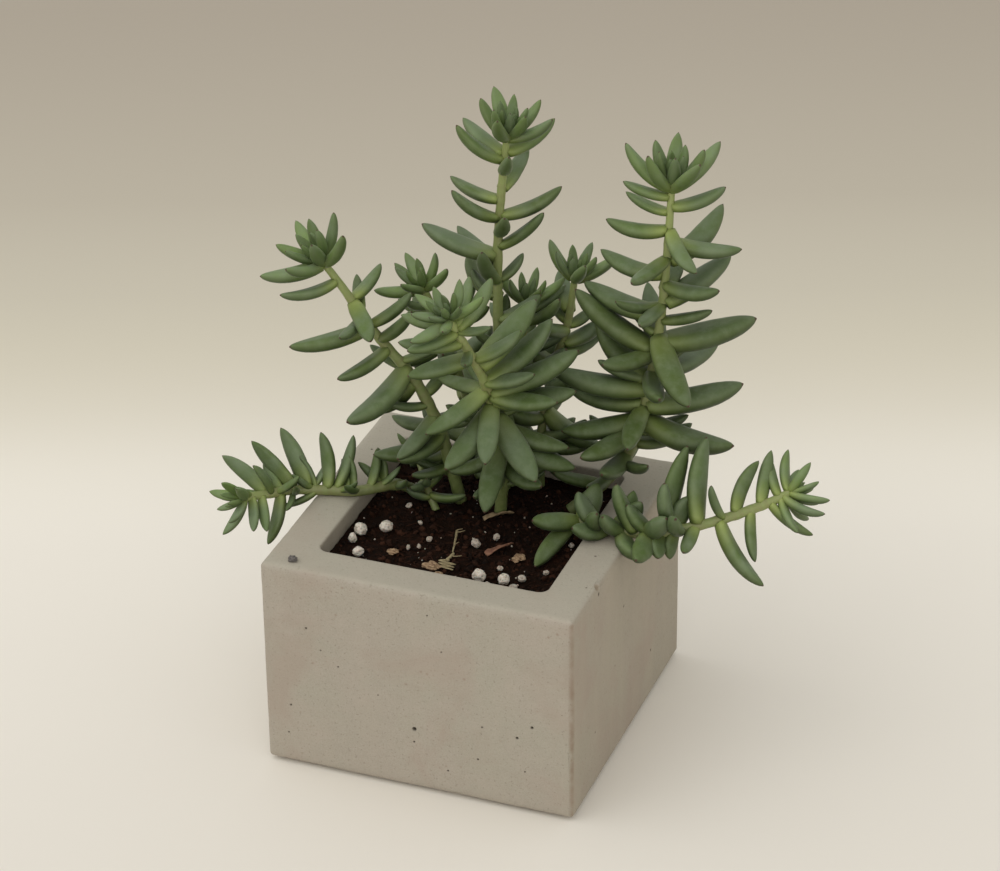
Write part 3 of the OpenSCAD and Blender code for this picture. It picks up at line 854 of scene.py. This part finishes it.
def make_bark(material):
    parts = Parts()
    for i, points in enumerate(islands("bark_chips")):
        lo, hi = points.min(0), points.max(0)
        centre, size = (lo + hi) / 2, (hi - lo) / 2
        verts, faces = lump(centre, size * 1.05, 4, 0.5, 4.1 * i + 1, 1.2)
        ridges = np.array([noise.noise(Vector((v[0] * 900, v[1] * 900, v[2] * 2500))) for v in verts])
        verts += (verts - centre) * ridges[:, None] * 0.16
        parts.add(verts, faces)
    obj = parts.build("wood_and_bark_chips", material)
    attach(obj, "planting")
    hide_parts("bark_chips")


def make_rootlets(material):
    rng, parts = random.Random(31), Parts()
    for points in islands("dry_rootlets"):
        order = np.argsort(-points[:, 1])
        slices = np.array_split(points[order], max(len(points) // 8, 2))
        line = smooth_line([s.mean(0) + [0, 0, rng.uniform(0, 0.5) * MM] for s in slices], 3)
        r = np.linspace(0.42, 0.24, len(line)) * MM
        verts, faces = tube(line, r, 8, lambda i, a: 0.25 * noise.noise(Vector((i * 0.6, a, 2.0))))
        parts.add(verts, faces, tone=0.9)
        for _ in range(3):
            k = rng.randrange(2, len(line) - 2)
            a = rng.uniform(0, 2 * math.pi)
            way = np.array([math.cos(a), math.sin(a), 0.15]) * rng.uniform(1.5, 3.5) * MM
            bend = np.array([-way[1], way[0], 0]) * rng.uniform(-0.4, 0.4)
            twig = smooth_line([line[k], line[k] + way * 0.5 + bend, line[k] + way], 3)
            verts, faces = tube(twig, np.linspace(0.2, 0.1, len(twig)) * MM, 6)
            parts.add(verts, faces, tone=0.8)
    obj = parts.build("dry_forked_rootlets", material)
    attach(obj, "planting")
    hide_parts("dry_rootlets")


# ---- Leaves and stems ----
def spindle(points):
    """Foot, tip and thickness of one CAD leaf."""
    centre = points.mean(0)
    axis = np.linalg.svd(points - centre)[2][0]
    along = (points - centre) @ axis
    span = along.max() - along.min()
    if (along > along.max() - 0.02 * span).sum() > (along < along.min() + 0.02 * span).sum():
        axis, along = -axis, -along
    foot = points[along < along.min() + 0.02 * span].mean(0)
    tip = points[along.argmax()]
    across = points - foot - np.outer((points - foot) @ axis, axis)
    return foot, tip, 2 * np.linalg.norm(across, axis=1).max()


LEAF_RINGS = 22
LEAF_SIDES = 16
# Stops along a leaf and the share of its full width there
WIDTH_STOPS = ([0, 0.05, 0.14, 0.28, 0.43, 0.58, 0.72, 0.84, 0.92, 0.97, 1],
               [0.72, 0.79, 0.90, 0.98, 1.0, 0.96, 0.84, 0.64, 0.42, 0.22, 0.04])


def leaf_mesh(foot, tip, normal, width, thick, bow, channel, twist, rng):
    """A plump pointed leaf from foot to tip; normal points to its flatter inner side."""
    length = np.linalg.norm(tip - foot)
    way = (tip - foot) / length
    normal = unit(normal - way * normal.dot(way))
    side = np.cross(way, normal)
    stops = np.linspace(0, 1, LEAF_RINGS)
    stops = stops ** 0.9 * 0.6 + (1 - (1 - stops) ** 1.6) * 0.4
    shares = np.interp(stops, *WIDTH_STOPS)
    sway, seed = rng.uniform(-0.04, 0.04) * length, rng.uniform(0, 50)
    verts, along, margin = [], [], []
    for t, share in zip(stops, shares):
        arch = 4 * t * (1 - t)
        middle = foot + way * length * t - normal * bow * length * arch + side * sway * arch
        a = twist * t
        across = side * math.cos(a) + normal * math.sin(a)
        up = normal * math.cos(a) - side * math.sin(a)
        swell = 1 + 0.05 * noise.noise(Vector((t * 5, seed, 0.0)))
        half_w = width / 2 * share * swell
        half_t = thick / 2 * share ** 0.75
        for k in range(LEAF_SIDES):
            angle = 2 * math.pi * k / LEAF_SIDES
            x, y = math.cos(angle), math.sin(angle)
            if y > 0:
                lift = 0.84 * half_t * y - channel * half_t * math.exp(-(x * 2.4) ** 2) * min(arch * 1.6, 1)
            else:
                lift = 1.16 * half_t * y
            verts.append(middle + across * half_w * x + up * lift)
            along.append(t)
            margin.append(abs(x) if y > -0.2 else abs(x) * 0.9)
    verts += [foot - way * 0.1 * MM, np.mean(verts[-LEAF_SIDES:], axis=0) + way * 0.02 * width]
    along += [0.0, 1.0]
    margin += [0.0, 0.0]
    ends = end_fans(len(verts) - 2, len(verts) - 1, (LEAF_RINGS - 1) * LEAF_SIDES, LEAF_SIDES)
    return np.array(verts), strip_faces(LEAF_RINGS, LEAF_SIDES) + ends, along, margin


def stem_line(shoot):
    """The middle line of a CAD stem, from the soil to the growing tip, with its radii."""
    points, near = welded(shoot + "_stem")
    layer = list(np.flatnonzero(np.abs(points[:, 2] - SOIL_Z) < 0.01 * MM))
    seen, centres, radii = set(layer), [], []
    while layer:
        ring = points[layer]
        centres.append(ring.mean(0))
        radii.append(np.linalg.norm(ring - centres[-1], axis=1).mean())
        layer = sorted({other for v in layer for other in near[v]} - seen)
        seen |= set(layer)
    return np.array(centres), np.array(radii)


def make_stem(shoot, line, radii, feet, material):
    """A round stem that swells a little, with a scar, where each leaf stands."""
    fine = smooth_line(line, 5)
    lengths = run_lengths(fine)
    base = np.interp(lengths / lengths[-1], run_lengths(line) / run_lengths(line)[-1], radii)
    swell, scar = np.zeros(len(fine)), np.zeros(len(fine))
    for foot in feet:
        near = np.linalg.norm(fine - foot, axis=1).argmin()
        d = np.abs(lengths - lengths[near])
        swell = np.maximum(swell, 0.13 * np.exp(-(d / (1.6 * MM)) ** 2))
        scar = np.maximum(scar, 0.25 * np.exp(-((d - 1.1 * MM) / (0.5 * MM)) ** 2))
    seed = len(feet) * 1.3

    def uneven(i, a):
        return 0.05 * noise.noise(Vector((i * 0.25, math.cos(a) * 1.5 + seed, math.sin(a))))

    verts, faces = tube(fine, base * STEM_GROWTH.get(shoot, PLAIN_GROWTH) * (1 + swell), STEM_SIDES, uneven)
    rings = np.concatenate([np.repeat(np.arange(len(fine)), STEM_SIDES), [0, len(fine) - 1]])
    parts = Parts()
    parts.add(verts, faces, young=(lengths / lengths[-1])[rings] ** 2, scar=scar[rings])
    obj = parts.build(shoot + "_stem_round", material)
    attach(obj, "planting")
    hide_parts(shoot + "_stem")


UP = np.array([0.0, 0.0, 1.0])
# Leaf width as a share of its length
LEAF_WIDTH = {"tall": 0.29, "right": 0.315, "left": 0.30, "front": 0.31, "back": 0.38, "middle": 0.38,
              "rear": 0.38, "basal": 0.36, "left_trailer": 0.28, "right_trailer": 0.30}
# The same for leaves that grow further down than 45 mm from the tip
LOW_LEAF_WIDTH = {"tall": 0.36, "left": 0.33}
LOW_FROM = 45
# Leaves of the right trailer further than 34 mm from its tip are rounder, the shorter the rounder
ROUND_FROM = 34
# Stem radius as a share of the CAD stem's
STEM_GROWTH = {"left_trailer": 1.15, "right_trailer": 1.2, "basal": 0.8}
PLAIN_GROWTH = 0.98
STEM_SIDES = 14
TRAILERS = ("left_trailer", "right_trailer")
# Distances from the tip in mm: where a leaf is no longer young, where it starts to be old and darkened with
# painted shade, and over how far
YOUNG_REACH = 16
OLD_SHADED_FROM = 18
OLD_SHADED_REACH = 34


def leaf_share(shoot, from_tip, length, young):
    """A leaf's width as a share of its length."""
    share = LOW_LEAF_WIDTH.get(shoot, LEAF_WIDTH[shoot]) if from_tip > LOW_FROM else LEAF_WIDTH[shoot]
    if shoot == "right_trailer" and from_tip > ROUND_FROM:
        share = min(max(0.44 + (15 - length / MM) * 0.025, 0.235), 0.60)
    return share + (0.30 - share) * young


def inner_side(shoot, axis, out, way):
    """Where a leaf's flatter side points: to the stem's tip, and up in a shoot that trails."""
    inner = axis - way * axis.dot(way)
    inner += max(axis.dot(way), 0) * -(out - way * out.dot(way))
    up = UP - way * UP.dot(way)
    return inner + up * (1.6 if shoot in TRAILERS else 0.35)


def make_leaves(shoot, line, material):
    """Curved blades in place of a shoot's CAD leaves; gives the feet of those that have grown."""
    rng = random.Random(sum(map(ord, shoot)))
    parts, feet = Parts(), []
    line = smooth_line(line, 8)
    lengths = run_lengths(line)
    for points in islands(shoot + "_leaves"):
        foot, tip, cad_thick = spindle(points)
        near = np.linalg.norm(line - foot, axis=1).argmin()
        foot = foot + (line[near] - foot) * 0.7
        length = np.linalg.norm(tip - foot)
        way = (tip - foot) / length
        axis = unit(line[min(near + 1, len(line) - 1)] - line[max(near - 1, 0)])
        from_tip = (lengths[-1] - lengths[near]) / MM
        young = max(0.0, 1 - from_tip / YOUNG_REACH)
        out = (foot + tip) / 2 - line[near]
        out = unit(out - axis * out.dot(axis))
        normal = inner_side(shoot, axis, out, way)
        if young < 0.5:
            feet.append(foot)
        width = length * leaf_share(shoot, from_tip, length, young) * rng.uniform(0.92, 1.1)
        thick = max(cad_thick * 1.12, width * 0.74)
        verts, faces, along, margin = leaf_mesh(
            foot, tip, normal, width, thick, rng.uniform(0.035, 0.085), rng.uniform(0.0, 0.25),
            rng.uniform(-0.25, 0.25), rng)
        # Older leaves further from the tip are darkened with painted shade; the trailers get less of it
        old = min(max((from_tip - OLD_SHADED_FROM) / OLD_SHADED_REACH, 0.0), 1.0) * (0.3 if shoot in TRAILERS else 1.0)
        parts.add(verts, faces, along=along, margin=margin, young=young, old=old, tone=rng.random())
    obj = parts.build(shoot + "_leaf_blades", material)
    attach(obj, "planting")
    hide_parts(shoot + "_leaves")
    return feet


def make_dry_leaves(material):
    rng, parts = random.Random(41), Parts()
    for i, points in enumerate(islands("dry_leaves")):
        foot, tip, _ = spindle(points)
        length = np.linalg.norm(tip - foot)
        verts, faces, _, _ = leaf_mesh(foot, tip, UP, length * 0.3, length * 0.10, -0.06, 0.9, 0.9, rng)
        crumple = np.array([noise.noise(Vector(v) * 600) for v in verts])
        verts[:, 2] += crumple * 0.5 * MM
        verts[:, 2] = np.maximum(verts[:, 2], SOIL_Z - 0.2 * MM)
        parts.add(verts, faces, tone=0.0 if i == 0 else 0.55)
    obj = parts.build("shed_dry_leaves", material)
    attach(obj, "planting")
    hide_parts("dry_leaves")


# ---- Stage, light and camera ----
GROUND_WAY = Vector((-math.sin(CAM_AZIMUTH), math.cos(CAM_AZIMUTH), 0))
# Painted light on the floor, brightest just behind the box and falling off further back; floor colour by
# distance behind the box: metres, colour
FLOOR_LIGHT_STOPS = [(-0.10, (0.83, 0.79, 0.715)), (0.10, (0.93, 0.89, 0.81)), (0.15, (0.90, 0.86, 0.765)),
               (0.19, (0.785, 0.74, 0.63)), (0.235, (0.695, 0.65, 0.53)), (0.28, (0.635, 0.595, 0.49)),
               (0.36, (0.55, 0.505, 0.413)), (0.55, (0.436, 0.386, 0.318))]
FLOOR_REACH = 3.0
FLOOR_CELLS = 24
LIGHT_TARGET = Vector((0, 0, 0.06))
# Lights: name, place, size, power and colour
LIGHTS = [("key", (-2.1, -1.5, 3.1), 5.5, 52.5, (1.0, 0.985, 0.96)),
          ("fill", (1.2, -2.6, 1.9), 2.0, 13.0, (1.0, 0.97, 0.90))]
STUDIO_COLOUR = (1.0, 0.985, 0.955, 1)
STUDIO_STRENGTH = 0.68


def make_stage():
    m = Nodes("floor_painted_light")
    # The floor's colour carries painted light: a ramp by distance behind the box
    flat = m.node("ShaderNodeVectorMath", {0: m.place, 1: tuple(GROUND_WAY)}, operation="DOT_PRODUCT")
    first, last = FLOOR_LIGHT_STOPS[0][0], FLOOR_LIGHT_STOPS[-1][0]
    share = m.band(flat.outputs["Value"], first, last)
    ramp = m.node("ShaderNodeValToRGB", {"Fac": share})
    elements = ramp.color_ramp.elements
    ramp.color_ramp.interpolation = "B_SPLINE"
    while len(elements) < len(FLOOR_LIGHT_STOPS):
        elements.new(0.5)
    for element, (distance, colour) in zip(elements, FLOOR_LIGHT_STOPS):
        element.position = (distance - first) / (last - first)
        element.color = (*colour, 1.0)
    material = m.finish(ramp.outputs["Color"], 0.85, Specular_IOR_Level=0.2)
    steps = np.linspace(-FLOOR_REACH, FLOOR_REACH, FLOOR_CELLS + 1)
    verts = [(x, y, 0.0) for y in steps for x in steps]
    row = FLOOR_CELLS + 1
    faces = [[j * row + i, j * row + i + 1, (j + 1) * row + i + 1, (j + 1) * row + i]
             for j in range(FLOOR_CELLS) for i in range(FLOOR_CELLS)]
    make_object("floor", verts, faces, material)


def area_light(name, place, size, power, colour):
    light = bpy.data.lights.new(name, "AREA")
    light.shape = "DISK"
    light.size = size
    light.energy = power
    light.color = colour
    obj = bpy.data.objects.new(name, light)
    bpy.context.scene.collection.objects.link(obj)
    obj.location = place
    obj.rotation_euler = (LIGHT_TARGET - Vector(place)).to_track_quat("-Z", "Y").to_euler()


def make_light():
    world = bpy.data.worlds.new("studio")
    bpy.context.scene.world = world
    world.use_nodes = True
    background = world.node_tree.nodes["Background"]
    background.inputs["Color"].default_value = STUDIO_COLOUR
    background.inputs["Strength"].default_value = STUDIO_STRENGTH
    for settings in LIGHTS:
        area_light(*settings)


def make_camera():
    sin, cos = math.sin, math.cos
    back = Vector((sin(CAM_AZIMUTH) * cos(CAM_ELEVATION), -cos(CAM_AZIMUTH) * cos(CAM_ELEVATION),
                   sin(CAM_ELEVATION)))
    right = (-back).cross(Vector((0, 0, 1))).normalized()
    up = right.cross(-back)
    data = bpy.data.cameras.new("camera")
    data.sensor_width = SENSOR
    data.lens = LENS
    data.clip_start = 0.05
    obj = bpy.data.objects.new("camera", data)
    bpy.context.scene.collection.objects.link(obj)
    right2 = cos(CAM_ROLL) * right + sin(CAM_ROLL) * up
    up2 = cos(CAM_ROLL) * up - sin(CAM_ROLL) * right
    place = back * CAM_DISTANCE + right * CAM_SIDE + up * CAM_RISE + Vector((0, 0, CAM_TARGET_Z))
    matrix = obj.matrix_world.copy()
    for column, vector in enumerate((right2, up2, back, place)):
        for row in range(3):
            matrix[row][column] = vector[row]
    obj.matrix_world = matrix
    bpy.context.scene.camera = obj


def dress(node, material):
    """Gives a CAD node, whose shape stays, its material."""
    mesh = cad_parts[node].data
    if not mesh.materials:
        mesh.materials.append(material)
    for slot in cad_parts[node].material_slots:
        slot.material = material


def main():
    bpy.context.scene.view_settings.view_transform = "Standard"
    make_camera()
    make_stage()
    make_light()
    make_shell(concrete_material())
    make_rim_crumb(grit_material())
    dress("base_pad", cork_material())
    dress("drain_mesh", mesh_material())
    dress("drainage_balls", clay_material())
    soil, crumbs, dry = soil_material(), crumb_material(), dry_material()
    make_root_ball(soil)
    make_soil_crumbs(crumbs)
    make_ball_roots(dry)
    make_perlite(perlite_material())
    make_bark(bark_material())
    make_rootlets(dry)
    make_dry_leaves(dry)
    stem, leaf = stem_material(), leaf_material()
    for shoot in SHOOTS:
        line, radii = stem_line(shoot)
        feet = make_leaves(shoot, line, leaf)
        make_stem(shoot, line, radii, feet, stem)


main()
